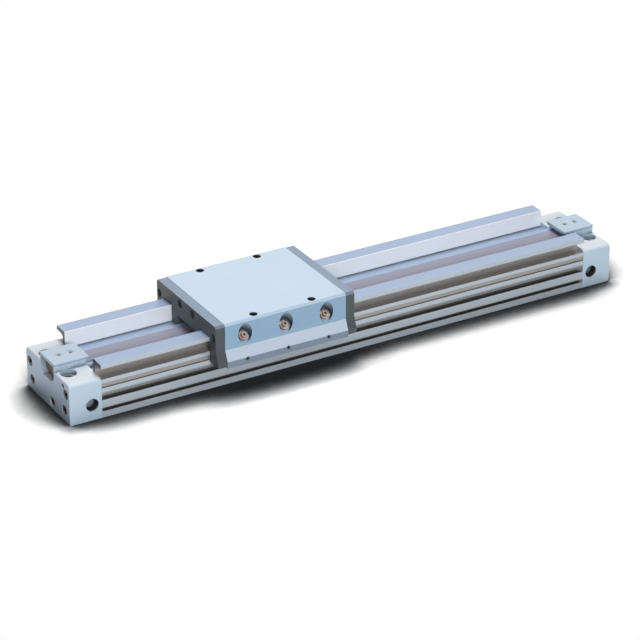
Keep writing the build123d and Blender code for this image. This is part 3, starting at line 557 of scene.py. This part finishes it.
def skirt_light_and_shade(tree, where, surface):
    """Paints light on the slanted facet and shade on the lip under it."""
    share = facing_shares(tree, where)
    split = add_node(tree, "ShaderNodeSeparateXYZ", Vector=where.outputs["Object"])
    slanted = add_node(
        tree,
        "ShaderNodeMath",
        {"operation": "COMPARE"},
        i0=share.outputs["Y"],
        i1=FACET_SLOPE,
        i2=FACET_SLOPE_REACH,
    )
    low = add_node(
        tree, "ShaderNodeMath", {"operation": "LESS_THAN"}, i0=split.outputs["Z"], i1=LIP_TOP_Z
    )
    shaded_lip = add_node(
        tree, "ShaderNodeMix", MIX_COLOURS, i0=low.outputs[0], i6=surface, i7=colour(LIP_SHADE_TINT)
    )
    lit_facet = add_node(
        tree,
        "ShaderNodeMix",
        MIX_COLOURS,
        i0=slanted.outputs[0],
        i6=shaded_lip.outputs[2],
        i7=colour(FACET_LIGHT_TINT),
    )
    return lit_facet.outputs[2]


# %% [markdown]
# ### The races of the rails
#
# The rails' inner walls guide the table's bearings. Their near-white tint is a painted highlight,
# standing in for the light they reflect from the lit channel. They lie at one distance from the
# middle, and that is how the colour finds them.

# %% Brighten the bearing races
RACE_HIGHLIGHT_TINT = "FAFDFF"
RACE_DEPTH = 0.3 * MM
RACE_INNER_Y = 22.6 * MM
RACE_START_Z = 28.6 * MM


def race_highlight(tree, where, surface):
    """Paints a near-white highlight on the rails' inner walls, where the table's bearings run."""
    split = add_node(tree, "ShaderNodeSeparateXYZ", Vector=where.outputs["Object"])
    across = add_node(tree, "ShaderNodeMath", {"operation": "ABSOLUTE"}, i0=split.outputs["Y"])
    wall = add_node(
        tree,
        "ShaderNodeMath",
        {"operation": "COMPARE"},
        i0=across.outputs[0],
        i1=RACE_INNER_Y,
        i2=RACE_DEPTH,
    )
    above = add_node(
        tree,
        "ShaderNodeMath",
        {"operation": "GREATER_THAN"},
        i0=split.outputs["Z"],
        i1=RACE_START_Z,
    )
    both = add_node(
        tree, "ShaderNodeMath", {"operation": "MULTIPLY"}, i0=wall.outputs[0], i1=above.outputs[0]
    )
    mixed = add_node(
        tree, "ShaderNodeMix", MIX_COLOURS, i0=both.outputs[0], i6=surface, i7=colour(RACE_HIGHLIGHT_TINT)
    )
    return mixed.outputs[2]


# %% [markdown]
# ### The anodised finish itself
#
# The oxide layer is clear and dull and the metal shines through it, so the finish lies between a
# paint and a mirror: a low metallic share does what two mixed shaders could do as well. Noise that is
# stretched along the tube draws the die lines, and a second, slow noise keeps large faces uneven.

# %% Write the anodised finish
ANODISED_METAL = 0.2
GRAIN_DEPTH = 0.05
CLOUD_DEPTH = 0.04
CLOUDS_PER_METRE = 22.0
ROUGHNESS_SWING = 0.05
GRAIN_BUMP = 0.08
BUMP_HEIGHT = 0.02 * MM


def uneven_tone(tree, where, grain):
    """A factor near one that follows the grain and, more slowly, wide soft clouds."""
    cloud = add_node(
        tree,
        "ShaderNodeTexNoise",
        Vector=where.outputs["Object"],
        Scale=CLOUDS_PER_METRE,
        Detail=2.0,
    )
    lines = add_node(
        tree,
        "ShaderNodeMapRange",
        Value=grain.outputs["Fac"],
        To_Min=1 - GRAIN_DEPTH,
        To_Max=1 + GRAIN_DEPTH,
    )
    cloudy = add_node(
        tree,
        "ShaderNodeMapRange",
        Value=cloud.outputs["Fac"],
        To_Min=1 - CLOUD_DEPTH,
        To_Max=1 + CLOUD_DEPTH,
    )
    uneven = add_node(
        tree, "ShaderNodeMath", {"operation": "MULTIPLY"}, i0=lines.outputs[0], i1=cloudy.outputs[0]
    )
    return uneven.outputs[0]


def anodised(name, tints, rough, grain_mm, stretch, part=None, reach_mm=BORE_REACH_MM):
    """Satin aluminium whose grain can be stretched along the axes into drawn or milled lines."""
    material, tree, output = empty_material(name)
    where = add_node(tree, "ShaderNodeTexCoord")
    turn = add_node(tree, "ShaderNodeMapping", Vector=where.outputs["Object"], Scale=stretch)
    grain = add_node(
        tree,
        "ShaderNodeTexNoise",
        Vector=turn.outputs[0],
        Scale=1 / (grain_mm * MM),
        Detail=3.0,
        Roughness=0.6,
    )
    # Painted light: the tone follows the direction that each face looks in
    tone = lit_tone_by_facing(tree, where, *tints)
    if part == "tube":
        # Painted shade in the grooves of the tube's flanks
        tone = flanks_with_groove_shade(tree, where, tone, tints[1])
    if part == "table":
        # Painted light on the skirt's facet and painted shade on its lip
        tone = skirt_light_and_shade(tree, where, tone)
    surface = add_node(
        tree,
        "ShaderNodeVectorMath",
        {"operation": "SCALE"},
        i0=tone,
        Scale=uneven_tone(tree, where, grain),
    )
    # Painted shade in bores, grooves and recesses
    skin = painted_shade_in_bores(tree, surface.outputs[0], reach_mm)
    if part == "tube":
        # Painted highlight on the rails' inner walls
        skin = race_highlight(tree, where, skin)
        # The tube's end faces take a dull, dark tint
        skin = dark_tube_ends(tree, where, skin)
    roughness = add_node(
        tree,
        "ShaderNodeMapRange",
        Value=grain.outputs["Fac"],
        To_Min=rough - ROUGHNESS_SWING,
        To_Max=rough + ROUGHNESS_SWING,
    )
    relief = add_node(
        tree,
        "ShaderNodeBump",
        Strength=GRAIN_BUMP,
        Distance=BUMP_HEIGHT,
        Height=grain.outputs["Fac"],
    )
    shader = add_node(
        tree,
        "ShaderNodeBsdfPrincipled",
        Base_Color=skin,
        Metallic=ANODISED_METAL,
        Roughness=roughness.outputs[0],
        Normal=relief.outputs[0],
    )
    tree.links.new(shader.outputs[0], output.inputs["Surface"])
    return material


# %% [markdown]
# ### The five aluminium finishes
#
# Each call gives three tints, for the top, the long sides and the ends, which hold painted light as
# well as the metal's colour. The tube's grain is drawn out fifty times along X, as the die leaves it.
# The table's deep recesses need a longer reach for their painted shade than a drilled hole does.

# %% Mix the anodised finishes
TABLE_RECESS_REACH_MM = 16.0

# Pressed through a die: long fine lines, a little glossier than a milled face
extruded_aluminium = anodised(
    "extruded_aluminium",
    ("A8BAD6", "BAC4CC", "AEB8C4"),
    rough=0.34,
    grain_mm=0.5,
    stretch=(0.02, 1, 1),
    part="tube",
)
# Milled across: the grain is drawn out three times along Y, and the top is the palest face, with
# painted light
milled_aluminium = anodised(
    "milled_aluminium",
    ("CCDEEE", "8EADC5", "AEC3D6"),
    rough=0.38,
    grain_mm=0.6,
    stretch=(1, 0.35, 1),
    part="table",
    reach_mm=TABLE_RECESS_REACH_MM,
)
# Milled blocks, nearly white on top with painted light
cover_aluminium = anodised(
    "cover_aluminium",
    ("DEE5ED", "BFD4E2", "BED3E6"),
    rough=0.40,
    grain_mm=0.6,
    stretch=(1, 0.5, 1),
)
# The clamp caps look a shade darker than the covers
cap_aluminium = anodised(
    "cap_aluminium",
    ("BED0E1", "AFC2D2", "A4B8CA"),
    rough=0.40,
    grain_mm=0.6,
    stretch=(1, 0.5, 1),
)
# Pieces inside the cylinder, turned or milled and left a plain grey
inner_aluminium = anodised(
    "inner_aluminium",
    ("C0C4C8", "C0C4C8", "C0C4C8"),
    rough=0.45,
    grain_mm=0.6,
    stretch=(1, 1, 1),
)
print("aluminium finishes:", [m.name for m in bpy.data.materials if "aluminium" in m.name])

# %% [markdown]
# ## Steel, brass-coloured zinc and magnet
#
# The small metal pieces are zinc plated, nickel plated, blackened or plain brass. A plating bath
# leaves soft patches a millimetre or two wide, so each finish drifts between two colours, and is
# duller where it is darker. All are full metals with the default IOR, and one function mixes them,
# because only their colours, roughness and patch size differ. Each could be a preset, but that is
# longer. The hidden magnets are a dark ceramic, and the same function serves for them.

# %% Write the plated finish
PLATED_SWING = 0.08
PLATED_BUMP = 0.1


def plated(name, tint, shade, rough, patch_mm):
    """A plated screw finish with soft patches, as the bath leaves them."""
    material, tree, output = empty_material(name)
    where = add_node(tree, "ShaderNodeTexCoord")
    patch = add_node(
        tree,
        "ShaderNodeTexNoise",
        Vector=where.outputs["Object"],
        Scale=1 / (patch_mm * MM),
        Detail=4.0,
    )
    tone = add_node(
        tree,
        "ShaderNodeMix",
        MIX_COLOURS,
        i0=patch.outputs["Fac"],
        i6=colour(shade),
        i7=colour(tint),
    )
    wear = add_node(
        tree,
        "ShaderNodeMapRange",
        Value=patch.outputs["Fac"],
        To_Min=rough + PLATED_SWING,
        To_Max=rough - PLATED_SWING,
    )
    relief = add_node(
        tree,
        "ShaderNodeBump",
        Strength=PLATED_BUMP,
        Distance=BUMP_HEIGHT,
        Height=patch.outputs["Fac"],
    )
    shader = add_node(
        tree,
        "ShaderNodeBsdfPrincipled",
        Base_Color=tone.outputs[2],
        Metallic=1.0,
        Roughness=wear.outputs[0],
        Normal=relief.outputs[0],
    )
    tree.links.new(shader.outputs[0], output.inputs["Surface"])
    return material


# %% Mix the small metals
# Clear zinc plate: bright grey with a slight haze
zinc_steel = plated("zinc_steel", "D8D6D2", "A8A49E", rough=0.30, patch_mm=2.0)
# The cover bolts sit deep in their holes, and their colour is painted nearly black as shade, with
# painted brown glints
shaded_bolt_steel = plated("shaded_bolt_steel", "5A453C", "2C1F1C", rough=0.38, patch_mm=2.0)
# Yellow zinc plate looks like brass and shifts between gold and brown
yellow_zinc = plated("yellow_zinc", "A0743F", "5A3A22", rough=0.34, patch_mm=1.5)
# Brass that has aged: dull, and more grey than gold
aged_brass = plated("aged_brass", "85756F", "54453F", rough=0.50, patch_mm=2.0)
# Nickel plate: warm and bright, with dark patches of painted reflection of its recess
nickel_and_painted_reflection = plated("nickel_and_painted_reflection", "E6D6CE", "4A3A38", rough=0.24, patch_mm=2.0)
# A tapped thread, painted dark as the shade deep in its hole
shaded_thread = plated("shaded_thread", "33363B", "1B1D21", rough=0.45, patch_mm=1.5)
# Black oxide on steel: dark grey and satin
blackened_steel = plated("blackened_steel", "6E767C", "3E4449", rough=0.42, patch_mm=1.5)
# The magnets' dark ceramic, dull and fine
ferrite = plated("ferrite", "3A3A3E", "2A2A2D", rough=0.55, patch_mm=1.0)
print("materials so far:", len(bpy.data.materials))

# %% [markdown]
# ## Resin, belt and rubber
#
# The end plates of the table are moulded in a dark glass-filled resin, whose fibres leave a dull,
# slightly speckled skin. The belts are thin and satin, with faint lines along them. Seals and
# scrapers are black nitrile rubber. Plastics and rubber are not metals: their colour comes from
# below the surface, and the gloss on top is weak.

# %% [markdown]
# ### The pale top of the end plates
#
# The upper edge of the plates gets a paler tint than the faces, a painted sheen where the top catches
# the light. It could be painted by hand on a map. A mask from the normal and the height does it
# without.

# %% Paint a sheen on the top of the resin
SHEEN_DEPTH = 3 * MM
SHEEN_FROM_SLOPE = 0.5
SHEEN_FULL_SLOPE = 0.95


def painted_sheen_top(tree, where, surface, top):
    """High faces that look up get a paler tone, as a painted sheen."""
    normal = add_node(tree, "ShaderNodeSeparateXYZ", Vector=where.outputs["Normal"])
    place = add_node(tree, "ShaderNodeSeparateXYZ", Vector=where.outputs["Object"])
    facing_up = add_node(
        tree,
        "ShaderNodeMapRange",
        Value=normal.outputs["Z"],
        From_Min=SHEEN_FROM_SLOPE,
        From_Max=SHEEN_FULL_SLOPE,
    )
    high = add_node(
        tree,
        "ShaderNodeMath",
        {"operation": "GREATER_THAN"},
        i0=place.outputs["Z"],
        i1=table_high.z - SHEEN_DEPTH,
    )
    sheen_share = add_node(
        tree,
        "ShaderNodeMath",
        {"operation": "MULTIPLY"},
        i0=facing_up.outputs[0],
        i1=high.outputs[0],
    )
    mixed = add_node(
        tree, "ShaderNodeMix", MIX_COLOURS, i0=sheen_share.outputs[0], i6=surface, i7=colour(top)
    )
    return mixed.outputs[2]


# %% Write the moulded finish
MOULDED_BUMP = 0.2
MOULDED_HEIGHT = 0.03 * MM


def moulded(name, tint, shade, rough, speck_mm, stretch=(1, 1, 1), top=None):
    """A moulded or calendered polymer with a fine speckle or grain."""
    material, tree, output = empty_material(name)
    where = add_node(tree, "ShaderNodeTexCoord")
    turn = add_node(tree, "ShaderNodeMapping", Vector=where.outputs["Object"], Scale=stretch)
    speck = add_node(
        tree,
        "ShaderNodeTexNoise",
        Vector=turn.outputs[0],
        Scale=1 / (speck_mm * MM),
        Detail=3.0,
    )
    tone = add_node(
        tree,
        "ShaderNodeMix",
        MIX_COLOURS,
        i0=speck.outputs["Fac"],
        i6=colour(shade),
        i7=colour(tint),
    )
    skin = tone.outputs[2]
    if top:
        # Painted sheen on the top
        skin = painted_sheen_top(tree, where, skin, top)
    relief = add_node(
        tree,
        "ShaderNodeBump",
        Strength=MOULDED_BUMP,
        Distance=MOULDED_HEIGHT,
        Height=speck.outputs["Fac"],
    )
    shader = add_node(
        tree,
        "ShaderNodeBsdfPrincipled",
        Base_Color=skin,
        Roughness=rough,
        Normal=relief.outputs[0],
    )
    tree.links.new(shader.outputs[0], output.inputs["Surface"])
    return material


# %% Mix the resins and rubber
# Glass-filled nylon: the short fibres give half-millimetre specks
# The paler top colour is a painted sheen
filled_resin = moulded(
    "glass_filled_resin", "4C5456", "3E4648", rough=0.48, speck_mm=0.5, top="8E9FB2"
)
# The belts' smooth polymer, with calender lines drawn out fifty times along X
belt_polymer = moulded(
    "belt_polymer", "9BA4BC", "968E9C", rough=0.42, speck_mm=1.8, stretch=(0.02, 1, 1)
)
# The bearings' pale slippery resin
bearing_resin = moulded("bearing_resin", "CFCDC4", "C2BFB5", rough=0.45, speck_mm=0.8)
# Black rubber, dull all over
nitrile = moulded("nitrile_rubber", "26262A", "1C1C1F", rough=0.6, speck_mm=0.6)
print("materials in all:", len(bpy.data.materials))

# %% [markdown]
# ## Give each solid its finish
#
# The record names a material slot for each CAD node. We choose a finish per slot, and a few nodes
# differ: the bolts deep in the end covers are painted nearly black as shade, the nuts are bright with
# painted reflection, and the small screws of the clamp caps are as pale as the caps.

# %% Dress the CAD nodes
finish_of_slot = {
    "tube_aluminium": extruded_aluminium,
    "cover_aluminium": cover_aluminium,
    "table_aluminium": milled_aluminium,
    "bolt_steel": zinc_steel,
    "brass_fittings": yellow_zinc,
    "belt_polymer": belt_polymer,
    "plate_resin": filled_resin,
    "bearing_resin": bearing_resin,
    "seal_rubber": nitrile,
    "magnet_ferrite": ferrite,
}
finish_of_node = {
    "lock_nuts": nickel_and_painted_reflection,
    "adjusting_screws": nickel_and_painted_reflection,
    "end_plate_screws": nickel_and_painted_reflection,
    "lock_set_screws": blackened_steel,
    "clamp_cap_screws": inner_aluminium,
    "piston_yoke": inner_aluminium,
}
for end in ("left", "right"):
    finish_of_node[f"clamp_cap_{end}"] = cap_aluminium
    finish_of_node[f"cover_bolts_{end}"] = shaded_bolt_steel
    finish_of_node[f"belt_clamp_{end}"] = aged_brass
    finish_of_node[f"clamp_bar_{end}"] = aged_brass
    finish_of_node[f"piston_{end}"] = inner_aluminium
for part in frame["record"]["subparts"]:
    node = nodes[part["node"]]
    material = finish_of_node.get(part["node"], finish_of_slot[part["material_slot"]])
    node.data.materials.clear()
    node.data.materials.append(material)

# %% [markdown]
# ## The belts
#
# Each belt is flat along the tube, and bends only where the table passes: the outer one rises over
# the yoke, the inner one dips under its neck. The bend travels with the table, which a rigid solid
# can't do. So each belt becomes three pieces. The bent middle rides on the carriage. We model one
# cross-section and extrude it along the belt's line.

# %% Sweep a belt piece along its line
EDGE_SOFTNESS = 0.2
EDGE_SEGMENTS = 2
SMOOTH_ANGLE = math.radians(35)


def belt_piece(name, width, thickness, line):
    """A flat belt that is extruded along a line of (x, z) points."""
    bpy.ops.object.select_all(action="DESELECT")
    start_x, start_z = line[0]
    bpy.ops.mesh.primitive_plane_add(size=1, location=(start_x, 0, start_z + thickness / 2))
    piece = bpy.context.object
    piece.name = name
    piece.rotation_euler = (0, math.pi / 2, 0)
    piece.scale = (thickness, width, 1)
    bpy.ops.object.transform_apply(location=True, rotation=True, scale=True)
    bpy.ops.object.mode_set(mode="EDIT")
    bpy.ops.mesh.select_all(action="SELECT")
    for (x0, z0), (x1, z1) in zip(line, line[1:]):
        bpy.ops.mesh.extrude_region_move(TRANSFORM_OT_translate={"value": (x1 - x0, 0, z1 - z0)})
    bpy.ops.mesh.select_all(action="SELECT")
    bpy.ops.mesh.normals_make_consistent(inside=False)
    bpy.ops.object.mode_set(mode="OBJECT")
    soften = piece.modifiers.new("soft_edges", "BEVEL")
    soften.width = thickness * EDGE_SOFTNESS
    soften.segments = EDGE_SEGMENTS
    bpy.ops.object.modifier_apply(modifier=soften.name)
    piece.data.materials.append(belt_polymer)
    bpy.ops.object.shade_smooth_by_angle(angle=SMOOTH_ANGLE)
    return piece


# %% [markdown]
# ### The lines that the belts follow
#
# A level run needs few points, but enough that it can stretch evenly. A ramp that starts and ends
# gently looks like a real belt under tension, where a straight ramp would show two kinks.

# %% Draw the belts' lines
RUN_STEP = 20 * MM
RAMP_POINTS = 9


def flat_run(start, end, z):
    """Points along a level stretch of belt."""
    count = max(2, round(abs(end - start) / RUN_STEP) + 1)
    return [(start + (end - start) * i / (count - 1), z) for i in range(count)]


def bend_run(flat_z, middle_z, half, ramp_end):
    """The bent middle of a belt: up or down a smooth ramp, level, and back again."""
    ramp = []
    for i in range(RAMP_POINTS):
        t = i / (RAMP_POINTS - 1)
        ease = t * t * (3 - 2 * t)
        ramp.append((ramp_end + (half - ramp_end) * t, flat_z + (middle_z - flat_z) * ease))
    left_ramp = [(table_middle - x, z) for x, z in ramp]
    right_ramp = [(table_middle + x, z) for x, z in reversed(ramp)]
    return left_ramp + right_ramp


# %% Make both belts
# Each belt's thickness, half of its level middle, half of its bend with both ramps, and whether
# the bend goes up
BELT_BENDS = {
    "outer_dust_belt": (1.0 * MM, 28 * MM, 42 * MM, True),
    "inner_seal_belt": (1.3 * MM, 24 * MM, 46 * MM, False),
}
for node, (thickness, half, ramp_end, rises) in BELT_BENDS.items():
    low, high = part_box(node)
    width = high.y - low.y
    bottom, top = low.z, high.z - thickness
    flat_z, middle_z = (bottom, top) if rises else (top, bottom)
    belt_start, belt_end = low.x, high.x
    left_x, right_x = table_middle - ramp_end, table_middle + ramp_end
    bend = bend_run(flat_z, middle_z, half, ramp_end)
    middle = belt_piece(f"{node}_middle", width, thickness, bend)
    left_line = flat_run(belt_start, left_x, flat_z)
    left = belt_piece(f"{node}_left_run", width, thickness, left_line)
    right_line = flat_run(right_x, belt_end, flat_z)
    right = belt_piece(f"{node}_right_run", width, thickness, right_line)
    for piece in (middle, left, right):
        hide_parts(node)
    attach(middle, "carriage")
    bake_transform(left)
    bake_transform(right)
    print(node, "runs from", round(belt_start, 4), "to", round(belt_end, 4))

# %% [markdown]
# ## Threads in the holes
#
# The air ports and the holes in the table top are tapped. In CAD they are plain bores, which keeps
# the solids simple. Here each one gets a real helix: a small V-shaped profile is drawn once and the
# Screw modifier turns it down the hole. The thread stands a little inside the bore, as the metal
# between two turns of a tapped thread does.

# %% Draw the profile of a thread
THREAD_HEIGHT = 0.5
WALL_GAP = 0.02 * MM
CREST_HALF_WIDTH = 0.02 * MM


def thread_profile(name, radius, pitch):
    """One tooth of a thread, as three edges in the plane of X and Z."""
    bpy.ops.object.select_all(action="DESELECT")
    bpy.ops.mesh.primitive_plane_add(size=1, location=(0, 0, 0))
    liner = bpy.context.object
    liner.name = name
    bpy.ops.object.mode_set(mode="EDIT")
    bpy.ops.mesh.select_all(action="SELECT")
    bpy.ops.mesh.delete(type="EDGE_FACE")
    bpy.ops.object.mode_set(mode="OBJECT")
    crest = radius - pitch * THREAD_HEIGHT
    tooth = (
        (radius - WALL_GAP, 0),
        (crest, pitch / 2 - CREST_HALF_WIDTH),
        (crest, pitch / 2 + CREST_HALF_WIDTH),
        (radius - WALL_GAP, pitch),
    )
    for vertex, (out, along) in zip(liner.data.vertices, tooth):
        vertex.co = (out, 0, along)
    liner.data.edges.add(3)
    for edge, (a, b) in zip(liner.data.edges, ((0, 1), (1, 2), (2, 3))):
        edge.vertices = (a, b)
    return liner


# %% Turn it down a hole
HELIX_STEPS = 40
MERGE_REACH = 0.002 * MM
FIRST_TURN = 0.3


def thread_liner(name, mouth, direction, radius, pitch, depth, body):
    """A helical thread on the wall of a bore, running inwards from its mouth."""
    liner = thread_profile(name, radius, pitch)
    screw = liner.modifiers.new("helix", "SCREW")
    screw.axis = "Z"
    screw.angle = math.tau
    screw.screw_offset = pitch
    screw.iterations = int(depth / pitch) - 1
    screw.steps = screw.render_steps = HELIX_STEPS
    screw.use_merge_vertices = True
    screw.merge_threshold = MERGE_REACH
    bpy.ops.object.modifier_apply(modifier=screw.name)
    bpy.ops.object.mode_set(mode="EDIT")
    bpy.ops.mesh.select_all(action="SELECT")
    bpy.ops.mesh.remove_doubles(threshold=MERGE_REACH)
    bpy.ops.mesh.normals_make_consistent(inside=True)
    bpy.ops.object.mode_set(mode="OBJECT")
    liner.rotation_mode = "QUATERNION"
    liner.rotation_quaternion = Vector(direction).to_track_quat("Z", "Y")
    liner.location = Vector(mouth) + Vector(direction) * FIRST_TURN * pitch
    bpy.ops.object.transform_apply(location=True, rotation=True, scale=True)
    # The thread's dark colour is painted shade
    liner.data.materials.append(shaded_thread)
    bpy.ops.object.shade_smooth_by_angle(angle=SMOOTH_ANGLE)
    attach(liner, body)


# %% Thread the ports and the table holes
PORT_RADIUS = 4.85 * MM
PORT_PITCH = 0.907 * MM
TABLE_HOLE_RADIUS = 3.0 * MM
TABLE_HOLE_PITCH = 1.0 * MM
TABLE_THREAD_DEPTH = 9 * MM

for mount in frame["record"]["mounts"]:
    x, y, z = mount["pos_m"]
    if mount["name"].startswith("air_port"):
        thread_liner(
            mount["name"] + "_thread",
            (x, tube_low.y, z),
            (0, 1, 0),
            PORT_RADIUS,
            PORT_PITCH,
            mount["dims"]["length_mm"] * MM,
            "cylinder",
        )
    if mount["name"] == "table_top_holes":
        half_x = mount["dims"]["spacing_x_mm"] * MM / 2
        half_y = mount["dims"]["spacing_y_mm"] * MM / 2
        for i, (sx, sy) in enumerate(((-1, -1), (1, -1), (-1, 1), (1, 1))):
            thread_liner(
                f"table_thread_{i}",
                (x + sx * half_x, y + sy * half_y, table_high.z),
                (0, 0, -1),
                TABLE_HOLE_RADIUS,
                TABLE_HOLE_PITCH,
                TABLE_THREAD_DEPTH,
                "carriage",
            )
